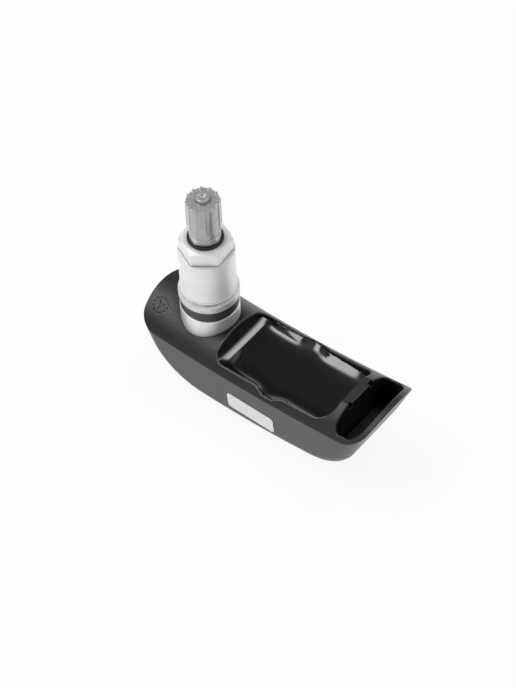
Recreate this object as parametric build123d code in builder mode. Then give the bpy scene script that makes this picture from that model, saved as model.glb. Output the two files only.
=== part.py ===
"""Clamp-in tyre pressure sensor for a wheel rim.

A turned valve stem carries a rubber seal, a washer and a union nut above a saddle-shaped housing.
The housing holds a circuit board and a coin cell under a level of potting resin, and ends in a pocket.
Lengths are in millimetres and angles in degrees. Z is the valve axis and points out of the rim,
X runs along the housing, and the origin lies on the valve axis where the rim seats on the rubber seal.
Heights and drops are measured from the collar's upper face.
"""

import os
from math import cos, radians, sqrt, tan

from build123d import *

os.makedirs("parts", exist_ok=True)

# Housing, outer form
crown_radius = 16.85
saddle_radius = 300.0
saddle_low_x = 9.4
ridge_drop = 4.63
cell_side_wall = 1.28
side_draft = 4.6
left_reach = 17.6
left_end_slope = 17.0
right_end_slope = 21.5
housing_depth = 25.2
belly_radius = 225.0
belly_left_round = 20.0
belly_right_round = 17.0
near_edge_round = 4.5
far_edge_round = 2.2
stock_top_z = 8.0

# Potting window and the cavity under it
window_left = 10.0
cell_end_room = 9.1
window_side_wall = 2.38
window_left_round = 2.8
window_near_round = 4.6
window_far_round = 3.0
bulge_foot = 4.7
bulge_flat = 1.6
bulge_round = 2.0
rim_round = 0.4
top_edge_round = 0.3
cavity_drop = 22.0
resin_drop = 10.4
resin_gap = 0.05

# Bar between window and pocket, and the pocket at the housing's end
bar_width = 2.8
bar_length = 11.0
bar_shift = 0.8
bar_drop = 3.1
bar_notch_length = 1.5
bar_notch_depth = 0.9
bar_notch_drop = 1.5
pocket_reach = 9.6
pocket_side_wall = 1.38
pocket_end_wall = 1.7
pocket_drop = 15.8
pocket_mouth_round = 4.4
pocket_floor_round = 1.3
port_hole_radius = 0.8
port_hole_drop = 14.6

# Valve stem
collar_radius = 8.67
collar_height = 9.0
collar_chamfer = 0.3
shank_radius = 5.0
shank_length = 10.0
barrel_radius = 5.15
barrel_height = 25.4
shoulder_radius = 4.55
shoulder_height = 30.2
tip_radius = 3.85
tip_height = 38.4
tip_chamfer = 0.5
air_bore_radius = 2.0
core_bore_radius = 2.6
core_bore_depth = 4.8
core_cone_length = 2.0
metal_gap = 0.05

# Rubber seal, washer and union nut
seal_radius = 8.5
seal_height = 4.06
seal_neck_radius = 5.65
seal_neck_height = 2.8
seal_edge_round = 0.4
washer_radius = 8.85
washer_height = 3.0
washer_rim_height = 2.0
washer_top_radius = 8.1
washer_dome_radius = 1.6
washer_clearance = 0.9
seat_gap = 0.02
nut_radius = 8.1
nut_bead_radius = 8.32
nut_bead_height = 0.7
nut_hexagon_height = 4.8
nut_lip_height = 0.45
nut_across_flats = 13.5
nut_turn = -23.8
nut_top_radius = 6.3
nut_chamfer_angle = 30.0
nut_bore_radius = 5.2
nut_relief_height = 0.9
mouth_ring_height = 1.15

# Valve core
core_thread_gap = 0.05
core_head_height = 4.0
core_head_drop = 0.4
core_neck_radius = 1.45
core_neck_length = 2.6
core_barrel_radius = 1.75
core_barrel_length = 7.4
core_hole_radius = 1.1
core_lip_radius = 0.62
core_lip_height = 1.2
pin_radius = 0.5
pin_button_radius = 0.85
pin_button_height = 1.5
pin_drop = 0.3
cup_radius = 1.6
cup_height = 1.6
poppet_radius = 1.5
poppet_height = 1.3
poppet_gap = 0.05
spring_wire_radius = 0.13
spring_turns = 7

# Cap
cap_bottom_gap = 0.2
cap_skirt_radius = 4.65
cap_skirt_height = 1.9
cap_low_radius = 5.0
cap_top_radius = 5.05
cap_length = 11.6
cap_wall_gap = 0.1
cap_crown_thickness = 1.7
flute_count = 12
flute_turn = 14.0
flute_radius = 1.7
flute_depth = 0.34
knob_height = 0.35
knob_length = 0.95
knob_width = 0.55
knob_round = 0.18
nub_low_radius = 1.85
nub_top_radius = 1.7
nub_height = 1.3
dimple_radius = 1.1
dimple_depth = 0.7
gasket_gap = 0.1
gasket_seat = 0.3

# Hollow screw that holds the housing to the stem
screw_radius = 3.0
screw_hole_gap = 0.3
screw_head_radius = 4.6
screw_head_height = 3.2
screw_head_drop = 29.0
screw_head_chamfer = 0.4
screw_recess_gap = 0.3
screw_air_radius = 1.2
screw_engagement = 6.5
screw_end_gap = 0.4
socket_across_flats = 4.0
socket_depth = 1.8

# Electronics
cell_radius = 11.5
cell_x = 30.2
cell_gap = 0.5
cell_thickness = 5.4
cell_cover = 1.6
board_thickness = 1.0
board_gap = 0.4
chip_length = 6.4
chip_width = 6.0
chip_height = 2.2
chip_end_gap = 0.5
port_wall = 0.7
crystal_length = 5.0
crystal_width = 3.2
crystal_height = 1.2
crystal_round = 0.8
coil_length = 8.0
coil_width = 3.0
coil_height = 2.6
coil_waist_length = 5.0
coil_waist_depth = 0.3
coil_gap = 0.2
antenna_gap = 1.4
antenna_span = 15.0
antenna_height = 4.6
antenna_strip = 0.8
antenna_width = 1.6
tab_width = 4.0
tab_thickness = 0.2
tab_reach = 6.0
tab_gap = 0.4
foot_length = 1.6
potting_gap = 0.15

# Label plate on the near side wall
label_length = 16.8
label_height = 6.6
label_thickness = 0.12
label_round = 1.3
label_x = 24.1
label_drop = 21.0

# Worked-out widths: the housing is as wide as its coin cell needs
top_half_width = cell_radius + cell_gap + cell_side_wall
window_half_width = top_half_width - window_side_wall
pocket_half_width = top_half_width - pocket_side_wall

# Worked-out lengths: the window ends past the cell and the chip, and the housing past the pocket
window_right = cell_x + cell_radius + cell_end_room
pocket_left = window_right + bar_width
right_reach = pocket_left + pocket_reach

# Worked-out places
collar_z = -seal_height
cavity_floor_z = collar_z - cavity_drop
resin_level_z = collar_z - resin_drop
bar_top_z = collar_z - bar_drop
pocket_floor_z = collar_z - pocket_drop
port_hole_z = collar_z - port_hole_drop
barrel_top_z = collar_z + barrel_height
shoulder_top_z = collar_z + shoulder_height
tip_z = collar_z + tip_height
screw_head_z = collar_z - screw_head_drop
label_z = collar_z - label_drop
ridge_z = collar_z - ridge_drop
belly_z = ridge_z - housing_depth
crown_edge_z = ridge_z - crown_radius + sqrt(crown_radius**2 - top_half_width**2)
collar_bottom_z = collar_z - collar_height
shank_bottom_z = collar_bottom_z - shank_length
washer_z = seat_gap
nut_z = washer_z + washer_height + seat_gap
nut_top_z = barrel_top_z + mouth_ring_height + nut_lip_height
ledge_z = nut_top_z - nut_hexagon_height
cap_z = shoulder_top_z + cap_bottom_gap
cap_top_z = cap_z + cap_length
cap_hole_radius = tip_radius + cap_wall_gap
cap_ceiling_z = cap_top_z - cap_crown_thickness
core_cone_z = tip_z - core_bore_depth
core_head_z = tip_z - core_head_drop
core_neck_z = core_head_z - core_head_height
core_barrel_z = core_neck_z - core_neck_length
core_end_z = core_barrel_z - core_barrel_length
pin_top_z = tip_z - pin_drop
button_z = pin_top_z - pin_button_height
poppet_top_z = core_end_z - poppet_gap
cup_top_z = poppet_top_z - poppet_height
screw_head_top_z = screw_head_z + screw_head_height
screw_hole_radius = screw_radius + metal_gap
screw_hole_top_z = shank_bottom_z + screw_engagement + screw_end_gap
board_top_z = cavity_floor_z + board_thickness
cell_top_z = resin_level_z - cell_cover
cell_bottom_z = cell_top_z - cell_thickness
chip_x = window_right - chip_end_gap - chip_length / 2
chip_top_z = board_top_z + chip_height
top_tab_x = cell_x - cell_radius - tab_gap
base_tab_x = cell_x + cell_radius + tab_gap
coil_x = top_tab_x - tab_thickness - coil_gap - coil_width / 2
antenna_x = window_left + board_gap + antenna_gap + antenna_width / 2


def side_half_width(z):
    """Half the housing's width at a height: the side walls draw in towards the belly."""
    return top_half_width + (z - crown_edge_z) * tan(radians(side_draft))


def left_end_x(z):
    """Place of the left end wall at a height: it leans in towards the belly."""
    return -left_reach - (z - ridge_z) * tan(radians(left_end_slope))


def right_end_x(z):
    """Place of the right end wall at a height: it leans in towards the belly."""
    return right_reach + (z - ridge_z) * tan(radians(right_end_slope))


def window_outline(gap):
    """Potting window seen from above, drawn in by a gap, with a bulge on each side for the coin cell."""
    left = window_left + gap
    right = window_right - gap
    side = -window_half_width + gap
    bulge = -cell_radius - cell_gap + gap
    with BuildSketch() as outline:
        with BuildLine():
            Polyline(
                (left, 0),
                (left, side),
                (cell_x - bulge_foot, side),
                (cell_x - bulge_flat, bulge),
                (cell_x + bulge_flat, bulge),
                (cell_x + bulge_foot, side),
                (right, side),
                (right, 0),
            )
            mirror(about=Plane.XZ)
        make_face()
        for x, y, rounding in (
            (left, side, window_left_round),
            (left, -side, window_left_round),
            (right, side, window_near_round),
            (right, -side, window_far_round),
        ):
            fillet(outline.vertices().sort_by_distance((x, y))[0], rounding)
        fillet(outline.vertices().filter_by(lambda v: abs(v.X - cell_x) <= bulge_foot), bulge_round)
    return outline.sketch


# Housing: a boat-shaped hull under a saddle, crowned across and hollowed along to follow the rim
with BuildPart() as housing:
    with BuildSketch(Plane.XZ) as side_view:
        below_z = belly_z - near_edge_round
        with BuildLine():
            Polyline(
                (left_end_x(stock_top_z), stock_top_z),
                (left_end_x(below_z), below_z),
                (right_end_x(below_z), below_z),
                (right_end_x(stock_top_z), stock_top_z),
                close=True,
            )
        make_face()
        with Locations((saddle_low_x, belly_z + belly_radius)):
            Circle(belly_radius, mode=Mode.INTERSECT)
        for end_x, rounding in (
            (left_end_x(below_z), belly_left_round),
            (right_end_x(below_z), belly_right_round),
        ):
            fillet(side_view.vertices().sort_by_distance((end_x, belly_z))[0], rounding)
    extrude(amount=2 * top_half_width, both=True)
    with BuildSketch(Plane.YZ):
        low = side_half_width(belly_z)
        high = side_half_width(stock_top_z)
        with BuildLine():
            Polyline((-low, belly_z), (low, belly_z), (high, stock_top_z), (-high, stock_top_z), close=True)
        make_face()
    extrude(amount=2 * right_reach, both=True, mode=Mode.INTERSECT)
    side_walls = housing.faces().filter_by(lambda f: abs(f.normal_at().Y) > 0.9).sort_by(Axis.Y)
    near_edges = side_walls[0].edges().sort_by(Axis.Z)[:-1]
    far_edges = side_walls[-1].edges().sort_by(Axis.Z)[:-1]
    fillet(near_edges, near_edge_round)
    fillet(far_edges, far_edge_round)
    with BuildSketch(Plane.YZ.offset(saddle_low_x)):
        with Locations((0, ridge_z - crown_radius)):
            Circle(crown_radius)
            Rectangle(2 * crown_radius, housing_depth, align=(Align.CENTER, Align.MAX))
    rim_axis = Axis((saddle_low_x, 0, ridge_z + saddle_radius), (0, 1, 0))
    revolve(axis=rim_axis, mode=Mode.INTERSECT)
    with BuildSketch(Plane.XY.offset(cavity_floor_z)):
        add(window_outline(0))
    extrude(amount=stock_top_z - cavity_floor_z, mode=Mode.SUBTRACT)
    for level, corner in ((pocket_floor_z, pocket_floor_round), (stock_top_z, pocket_mouth_round)):
        end_x = right_end_x(level) - pocket_end_wall / cos(radians(right_end_slope))
        with BuildSketch(Plane.XY.offset(level)):
            with Locations(((pocket_left + end_x) / 2, 0)):
                RectangleRounded(end_x - pocket_left, 2 * pocket_half_width, corner)
    loft(mode=Mode.SUBTRACT)
    saddle_face = housing.faces().filter_by(GeomType.TORUS)[0]
    fillet(saddle_face.inner_wires().edges(), rim_round)
    saddle_face = housing.faces().filter_by(GeomType.TORUS).sort_by(SortBy.AREA)[-1]
    fillet(saddle_face.outer_wire().edges(), top_edge_round)
    with BuildSketch(Plane.XY.offset(bar_top_z)):
        with Locations((window_right + bar_width / 2, bar_shift)):
            Rectangle(2 * bar_width, bar_length)
    extrude(amount=stock_top_z - bar_top_z, mode=Mode.SUBTRACT)
    with BuildSketch(Plane.XY.offset(bar_top_z - bar_notch_drop)):
        with Locations((pocket_left, bar_shift)):
            with GridLocations(0, bar_length - bar_notch_length, 1, 2):
                Rectangle(2 * bar_notch_depth, bar_notch_length)
    extrude(amount=stock_top_z - bar_top_z, mode=Mode.SUBTRACT)
    with BuildSketch(Plane.YZ.offset(window_right)):
        with Locations((0, port_hole_z)):
            Circle(port_hole_radius)
    extrude(amount=bar_width, mode=Mode.SUBTRACT)
    with BuildSketch(Plane.XY.offset(collar_bottom_z)):
        Circle(collar_radius + metal_gap)
    extrude(amount=collar_height, mode=Mode.SUBTRACT)
    with BuildSketch(Plane.XY.offset(shank_bottom_z)):
        Circle(shank_radius + metal_gap)
    extrude(amount=shank_length, mode=Mode.SUBTRACT)
    with BuildSketch(Plane.XY.offset(screw_head_top_z)):
        Circle(screw_radius + screw_hole_gap)
    extrude(amount=shank_bottom_z - screw_head_top_z, mode=Mode.SUBTRACT)
    with BuildSketch(Plane.XY.offset(screw_head_top_z)):
        Circle(screw_head_radius + screw_recess_gap)
    extrude(amount=belly_z - screw_head_top_z, mode=Mode.SUBTRACT)
housing.part.label = "housing"
export_step(housing.part, "parts/housing.step")

# Label plate, bare, lying on the near side wall
with BuildPart() as side_label:
    draft = radians(side_draft)
    wall_plane = Plane(
        origin=(label_x, -side_half_width(label_z), label_z),
        x_dir=(1, 0, 0),
        z_dir=(0, -cos(draft), -tan(draft) * cos(draft)),
    )
    with BuildSketch(wall_plane):
        RectangleRounded(label_length, label_height, label_round)
    extrude(amount=label_thickness)
side_label.part.label = "side_label"
export_step(side_label.part, "parts/side_label.step")

# Circuit board on the cavity's floor
with BuildPart() as circuit_board:
    with BuildSketch(Plane.XY.offset(cavity_floor_z)):
        add(window_outline(board_gap))
    extrude(amount=board_thickness)
circuit_board.part.label = "circuit_board"
export_step(circuit_board.part, "parts/circuit_board.step")

# Coin cell above the board
with BuildPart() as coin_cell:
    with BuildSketch(Plane.XY.offset(cell_bottom_z)):
        with Locations((cell_x, 0)):
            Circle(cell_radius)
    extrude(amount=cell_thickness)
coin_cell.part.label = "coin_cell"
export_step(coin_cell.part, "parts/coin_cell.step")

# Tab from the top of the cell down to the board
with BuildPart() as cell_top_tab:
    with BuildSketch(Plane.XZ):
        with BuildLine():
            Polyline(
                (top_tab_x + tab_reach, cell_top_z),
                (top_tab_x, cell_top_z),
                (top_tab_x, board_top_z + tab_thickness),
                (top_tab_x + foot_length, board_top_z + tab_thickness),
                (top_tab_x + foot_length, board_top_z),
                (top_tab_x - tab_thickness, board_top_z),
                (top_tab_x - tab_thickness, cell_top_z + tab_thickness),
                (top_tab_x + tab_reach, cell_top_z + tab_thickness),
                close=True,
            )
        make_face()
    extrude(amount=tab_width / 2, both=True)
cell_top_tab.part.label = "cell_top_tab"
export_step(cell_top_tab.part, "parts/cell_top_tab.step")

# Tab from the underside of the cell down to the board
with BuildPart() as cell_base_tab:
    with BuildSketch(Plane.XZ):
        with BuildLine():
            Polyline(
                (base_tab_x - tab_reach, cell_bottom_z),
                (base_tab_x + tab_thickness, cell_bottom_z),
                (base_tab_x + tab_thickness, board_top_z),
                (base_tab_x - foot_length, board_top_z),
                (base_tab_x - foot_length, board_top_z + tab_thickness),
                (base_tab_x, board_top_z + tab_thickness),
                (base_tab_x, cell_bottom_z - tab_thickness),
                (base_tab_x - tab_reach, cell_bottom_z - tab_thickness),
                close=True,
            )
        make_face()
    extrude(amount=tab_width / 2, both=True)
cell_base_tab.part.label = "cell_base_tab"
export_step(cell_base_tab.part, "parts/cell_base_tab.step")

# Pressure chip beside the bar
with BuildPart() as pressure_chip:
    with BuildSketch(Plane.XY.offset(board_top_z)):
        with Locations((chip_x, 0)):
            Rectangle(chip_length, chip_width)
    extrude(amount=chip_height)
pressure_chip.part.label = "pressure_chip"
export_step(pressure_chip.part, "parts/pressure_chip.step")

# Rubber elbow that leads the tyre's air from the pocket to the chip
with BuildPart() as port_elbow:
    elbow_radius = port_hole_radius + port_wall
    elbow_top_z = port_hole_z + elbow_radius
    elbow_x = window_right - chip_end_gap - elbow_radius
    with BuildSketch(Plane.XY.offset(chip_top_z)):
        with Locations((elbow_x, 0)):
            Rectangle(2 * elbow_radius, 2 * elbow_radius)
    extrude(amount=elbow_top_z - chip_top_z)
    with BuildSketch(Plane.YZ.offset(elbow_x + elbow_radius)):
        with Locations((0, port_hole_z)):
            Circle(elbow_radius)
    extrude(amount=chip_end_gap)
    with BuildSketch(Plane.XY.offset(chip_top_z)):
        with Locations((elbow_x, 0)):
            Circle(port_hole_radius)
    extrude(amount=port_hole_z - chip_top_z, mode=Mode.SUBTRACT)
    with BuildSketch(Plane.YZ.offset(elbow_x)):
        with Locations((0, port_hole_z)):
            Circle(port_hole_radius)
    extrude(amount=elbow_radius + chip_end_gap, mode=Mode.SUBTRACT)
port_elbow.part.label = "port_elbow"
export_step(port_elbow.part, "parts/port_elbow.step")

# Timing crystal under the cell
with BuildPart() as crystal:
    with BuildSketch(Plane.XY.offset(board_top_z)):
        with Locations((cell_x, 0)):
            RectangleRounded(crystal_length, crystal_width, crystal_round)
    extrude(amount=crystal_height)
crystal.part.label = "crystal"
export_step(crystal.part, "parts/crystal.step")

# Wake-up coil: a ferrite bar with a wound waist
with BuildPart() as wake_coil:
    with BuildSketch(Plane.XY.offset(board_top_z)):
        with Locations((coil_x, 0)):
            Rectangle(coil_width, coil_length)
    extrude(amount=coil_height)
    with BuildSketch(Plane.XY.offset(board_top_z)):
        with Locations((coil_x - coil_width / 2, 0), (coil_x + coil_width / 2, 0)):
            Rectangle(2 * coil_waist_depth, coil_waist_length)
    extrude(amount=coil_height, mode=Mode.SUBTRACT)
wake_coil.part.label = "wake_coil"
export_step(wake_coil.part, "parts/wake_coil.step")

# Aerial: a flat strip bent into a staple across the board
with BuildPart() as antenna_strip_part:
    with BuildSketch(Plane.YZ.offset(antenna_x - antenna_width / 2)):
        with Locations((0, board_top_z)):
            Rectangle(antenna_span, antenna_height, align=(Align.CENTER, Align.MIN))
            Rectangle(
                antenna_span - 2 * antenna_strip,
                antenna_height - antenna_strip,
                align=(Align.CENTER, Align.MIN),
                mode=Mode.SUBTRACT,
            )
    extrude(amount=antenna_width)
antenna_strip_part.part.label = "antenna_strip"
export_step(antenna_strip_part.part, "parts/antenna_strip.step")

# Potting resin, level with the window's lowest rim, with room left round what it covers
with BuildPart() as potting_resin:
    resin_floor_z = board_top_z + potting_gap
    with BuildSketch(Plane.XY.offset(resin_floor_z)):
        add(window_outline(resin_gap))
    extrude(amount=resin_level_z - resin_floor_z)
    with BuildSketch(Plane.XY.offset(resin_floor_z)):
        with Locations((cell_x, 0)):
            Circle(cell_radius + tab_gap + tab_thickness + potting_gap)
    extrude(amount=cell_top_z + tab_thickness + potting_gap - resin_floor_z, mode=Mode.SUBTRACT)
    with BuildSketch(Plane.XY.offset(resin_floor_z)):
        with Locations((antenna_x - antenna_width, 0)):
            Rectangle(
                cell_x - cell_radius - antenna_x + antenna_width,
                antenna_span + 2 * potting_gap,
                align=(Align.MIN, Align.CENTER),
            )
    extrude(amount=antenna_height, mode=Mode.SUBTRACT)
    with BuildSketch(Plane.XY.offset(resin_floor_z)):
        with Locations((window_right - resin_gap, 0)):
            Rectangle(
                window_right - cell_x - cell_radius + tab_reach,
                chip_width + 2 * potting_gap,
                align=(Align.MAX, Align.CENTER),
            )
    extrude(amount=port_hole_z + port_hole_radius + port_wall - board_top_z, mode=Mode.SUBTRACT)
potting_resin.part.label = "potting_resin"
export_step(potting_resin.part, "parts/potting_resin.step")

# Valve stem: collar sunk in the housing, barrel for the nut, tip for the cap
with BuildPart() as valve_stem:
    with BuildSketch(Plane.XZ):
        with BuildLine():
            Polyline(
                (screw_hole_radius, shank_bottom_z),
                (shank_radius, shank_bottom_z),
                (shank_radius, collar_bottom_z),
                (collar_radius, collar_bottom_z),
                (collar_radius, collar_z - collar_chamfer),
                (collar_radius - collar_chamfer, collar_z),
                (barrel_radius, collar_z),
                (barrel_radius, barrel_top_z),
                (shoulder_radius, barrel_top_z),
                (shoulder_radius, shoulder_top_z),
                (tip_radius, shoulder_top_z),
                (tip_radius, tip_z - tip_chamfer),
                (tip_radius - tip_chamfer, tip_z),
                (core_bore_radius, tip_z),
                (core_bore_radius, core_cone_z),
                (air_bore_radius, core_cone_z - core_cone_length),
                (air_bore_radius, screw_hole_top_z),
                (screw_hole_radius, screw_hole_top_z),
                close=True,
            )
        make_face()
    revolve(axis=Axis.Z)
valve_stem.part.label = "valve_stem"
export_step(valve_stem.part, "parts/valve_stem.step")

# Hollow screw from the belly, with a hexagon socket
with BuildPart() as hollow_screw:
    with BuildSketch(Plane.XY.offset(screw_head_z)):
        Circle(screw_head_radius)
    extrude(amount=screw_head_height)
    with BuildSketch(Plane.XY.offset(screw_head_top_z)):
        Circle(screw_radius)
    extrude(amount=screw_hole_top_z - screw_end_gap - screw_head_top_z)
    with BuildSketch(Plane.XY.offset(screw_head_z)):
        RegularPolygon(socket_across_flats / 2, 6, major_radius=False)
    extrude(amount=socket_depth, mode=Mode.SUBTRACT)
    with BuildSketch(Plane.XY.offset(screw_head_z)):
        Circle(screw_air_radius)
    extrude(amount=screw_hole_top_z - screw_head_z, mode=Mode.SUBTRACT)
    head_edges = hollow_screw.edges().filter_by(GeomType.CIRCLE).group_by(Axis.Z)[0]
    chamfer(head_edges.sort_by(Edge.length)[-1], screw_head_chamfer)
hollow_screw.part.label = "hollow_screw"
export_step(hollow_screw.part, "parts/hollow_screw.step")

# Rubber seal: a thick ring on the collar with a neck that fills the rim's hole
with BuildPart() as rim_seal:
    with BuildSketch(Plane.XZ):
        with BuildLine():
            Polyline(
                (barrel_radius + metal_gap, collar_z),
                (seal_radius, collar_z),
                (seal_radius, 0),
                (seal_neck_radius, 0),
                (seal_neck_radius, seal_neck_height),
                (barrel_radius + metal_gap, seal_neck_height),
                close=True,
            )
        seal_face = make_face()
        fillet(seal_face.vertices().sort_by(Axis.X)[-2:], seal_edge_round)
    revolve(axis=Axis.Z)
rim_seal.part.label = "rim_seal"
export_step(rim_seal.part, "parts/rim_seal.step")

# Black ring in the nut's mouth, seated on the barrel's end
with BuildPart() as mouth_ring:
    with BuildSketch(Plane.XY.offset(barrel_top_z)):
        Circle(barrel_radius)
        Circle(shoulder_radius + metal_gap, mode=Mode.SUBTRACT)
    extrude(amount=mouth_ring_height)
mouth_ring.part.label = "mouth_ring"
export_step(mouth_ring.part, "parts/mouth_ring.step")

# Washer with a domed upper edge
with BuildPart() as flange_washer:
    with BuildSketch(Plane.XZ):
        washer_bore = seal_neck_radius + washer_clearance
        washer_rim_z = washer_z + washer_rim_height
        washer_top_z = washer_z + washer_height
        with BuildLine():
            Line((washer_bore, washer_z), (washer_radius, washer_z))
            Line((washer_radius, washer_z), (washer_radius, washer_rim_z))
            RadiusArc(
                (washer_radius, washer_rim_z),
                (washer_top_radius, washer_top_z),
                -washer_dome_radius,
            )
            Line((washer_top_radius, washer_top_z), (washer_bore, washer_top_z))
            Line((washer_bore, washer_top_z), (washer_bore, washer_z))
        make_face()
    revolve(axis=Axis.Z)
flange_washer.part.label = "flange_washer"
export_step(flange_washer.part, "parts/flange_washer.step")

# Union nut: round sleeve with a beaded foot, hexagon milled at the upper end
with BuildPart() as union_nut:
    with BuildSketch(Plane.XZ):
        foot_radius = nut_radius - nut_bead_radius + nut_radius
        with BuildLine():
            Line((nut_bore_radius, nut_z), (foot_radius, nut_z))
            ThreePointArc(
                (foot_radius, nut_z),
                (nut_bead_radius, nut_z + nut_bead_height / 2),
                (nut_radius, nut_z + nut_bead_height),
            )
            Line((nut_radius, nut_z + nut_bead_height), (nut_radius, ledge_z))
            Line((nut_radius, ledge_z), (nut_bore_radius, ledge_z))
            Line((nut_bore_radius, ledge_z), (nut_bore_radius, nut_z))
        make_face()
    revolve(axis=Axis.Z)
    with BuildSketch(Plane.XY.offset(ledge_z)):
        RegularPolygon(nut_across_flats / 2, 6, major_radius=False, rotation=nut_turn)
        Circle(nut_bore_radius, mode=Mode.SUBTRACT)
    extrude(amount=nut_top_z - ledge_z)
    with BuildSketch(Plane.XZ):
        reach = 2 * nut_radius
        fall = (reach - nut_top_radius) * tan(radians(nut_chamfer_angle))
        with BuildLine():
            Polyline((nut_top_radius, nut_top_z), (reach, nut_top_z), (reach, nut_top_z - fall), close=True)
        make_face()
    revolve(axis=Axis.Z, mode=Mode.SUBTRACT)
    with BuildSketch(Plane.XY.offset(nut_z)):
        Circle(seal_neck_radius + washer_clearance)
    extrude(amount=nut_relief_height, mode=Mode.SUBTRACT)
union_nut.part.label = "union_nut"
export_step(union_nut.part, "parts/union_nut.step")

# Valve core body, screwed into the stem's tip
with BuildPart() as core_body:
    with BuildSketch(Plane.XZ):
        head_radius = core_bore_radius - core_thread_gap
        with BuildLine():
            Polyline(
                (core_lip_radius, core_end_z),
                (core_barrel_radius, core_end_z),
                (core_barrel_radius, core_barrel_z),
                (core_neck_radius, core_barrel_z),
                (core_neck_radius, core_neck_z),
                (head_radius, core_neck_z),
                (head_radius, core_head_z),
                (core_hole_radius, core_head_z),
                (core_hole_radius, core_end_z + core_lip_height),
                (core_lip_radius, core_end_z + core_lip_height),
                close=True,
            )
        make_face()
    revolve(axis=Axis.Z)
core_body.part.label = "core_body"
export_step(core_body.part, "parts/core_body.step")

# Seal ring on the core's neck, bearing on the cone in the stem
with BuildPart() as core_ring:
    with BuildSketch(Plane.XZ):
        ring_low_z = core_barrel_z + core_thread_gap
        ring_high_z = core_neck_z - core_thread_gap
        ring_slope = (core_bore_radius - air_bore_radius) / core_cone_length
        ring_low_radius = air_bore_radius - core_thread_gap
        ring_wide_radius = core_bore_radius - 2 * core_thread_gap
        ring_cone_z = core_cone_z - core_cone_length
        with BuildLine():
            Polyline(
                (core_neck_radius + core_thread_gap, ring_low_z),
                (ring_low_radius, ring_low_z),
                (ring_low_radius, ring_cone_z),
                (ring_wide_radius, ring_cone_z + (ring_wide_radius - ring_low_radius) / ring_slope),
                (ring_wide_radius, ring_high_z),
                (core_neck_radius + core_thread_gap, ring_high_z),
                close=True,
            )
        make_face()
    revolve(axis=Axis.Z)
core_ring.part.label = "core_ring"
export_step(core_ring.part, "parts/core_ring.step")

# Core pin with its button above and its cup below
with BuildPart() as core_pin:
    with BuildSketch(Plane.XZ):
        with BuildLine():
            Polyline(
                (0, cup_top_z - cup_height),
                (cup_radius, cup_top_z - cup_height),
                (cup_radius, cup_top_z),
                (pin_radius, cup_top_z),
                (pin_radius, button_z),
                (pin_button_radius, button_z),
                (pin_button_radius, pin_top_z),
                (0, pin_top_z),
                close=True,
            )
        make_face()
    revolve(axis=Axis.Z)
core_pin.part.label = "core_pin"
export_step(core_pin.part, "parts/core_pin.step")

# Rubber poppet on the cup, closing the core's lower end
with BuildPart() as core_poppet:
    with BuildSketch(Plane.XY.offset(cup_top_z)):
        Circle(poppet_radius)
        Circle(pin_radius + core_thread_gap, mode=Mode.SUBTRACT)
    extrude(amount=poppet_height)
core_poppet.part.label = "core_poppet"
export_step(core_poppet.part, "parts/core_poppet.step")

# Core spring between the lip of the core and the pin's button
with BuildPart() as core_spring:
    spring_z = core_end_z + core_lip_height + spring_wire_radius + core_thread_gap
    spring_height = button_z - spring_wire_radius - core_thread_gap - spring_z
    spring_radius = (pin_radius + core_hole_radius) / 2
    with BuildLine(Plane.XY.offset(spring_z)) as coil_line:
        Helix(spring_height / spring_turns, spring_height, spring_radius)
    with BuildSketch(Plane(origin=coil_line.line @ 0, z_dir=coil_line.line % 0)):
        Circle(spring_wire_radius)
    sweep(is_frenet=True)
core_spring.part.label = "core_spring"
export_step(core_spring.part, "parts/core_spring.step")

# Cap gasket under the cap's crown
with BuildPart() as cap_gasket:
    with BuildSketch(Plane.XY.offset(tip_z + gasket_seat)):
        Circle(cap_hole_radius - gasket_gap)
    extrude(amount=cap_ceiling_z - metal_gap - tip_z - gasket_seat)
cap_gasket.part.label = "cap_gasket"
export_step(cap_gasket.part, "parts/cap_gasket.step")

# Fluted cap with a knob on each ridge and a dimpled nub
with BuildPart() as valve_cap:
    flute_low_z = cap_z + cap_skirt_height
    with BuildSketch(Plane.XZ):
        with BuildLine():
            Polyline(
                (cap_hole_radius, cap_z),
                (cap_skirt_radius, cap_z),
                (cap_skirt_radius, flute_low_z),
                (cap_low_radius, flute_low_z),
                (cap_top_radius, cap_top_z),
                (nub_low_radius, cap_top_z),
                (nub_top_radius, cap_top_z + nub_height),
                (dimple_radius, cap_top_z + nub_height),
                (dimple_radius, cap_top_z + nub_height - dimple_depth),
                (0, cap_top_z + nub_height - dimple_depth),
                (0, cap_ceiling_z),
                (cap_hole_radius, cap_ceiling_z),
                close=True,
            )
        make_face()
    revolve(axis=Axis.Z)
    with BuildSketch(Plane.XY.offset(cap_top_z)):
        with PolarLocations(cap_top_radius - knob_length / 2, flute_count, start_angle=flute_turn):
            RectangleRounded(knob_length, knob_width, knob_round)
    extrude(amount=knob_height)
    with BuildSketch(Plane.XY.offset(flute_low_z)):
        flute_ring = cap_low_radius - flute_depth + flute_radius
        with PolarLocations(flute_ring, flute_count, start_angle=flute_turn + 180 / flute_count):
            Circle(flute_radius)
    extrude(amount=cap_length, mode=Mode.SUBTRACT)
valve_cap.part.label = "valve_cap"
export_step(valve_cap.part, "parts/valve_cap.step")
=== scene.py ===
"""Dresses a clamp-in tyre pressure sensor: the finish of every surface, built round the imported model.

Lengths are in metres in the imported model's frame. Z is the valve axis and points out of the rim, X runs
along the housing, and the origin lies on the valve axis where the rim seats on the rubber seal.
"""

from math import asin, cos, pi, radians, sin, tan, tau

import bmesh
import bpy
import numpy as np
from bpy.props import FloatProperty, FloatVectorProperty, IntProperty, PointerProperty
from bpy.types import NodeSocket, Operator, Panel, PropertyGroup
from mathutils import Matrix, Vector, noise
from mathutils.bvhtree import BVHTree
from mathutils.geometry import delaunay_2d_cdt
from mathutils.kdtree import KDTree


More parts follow.
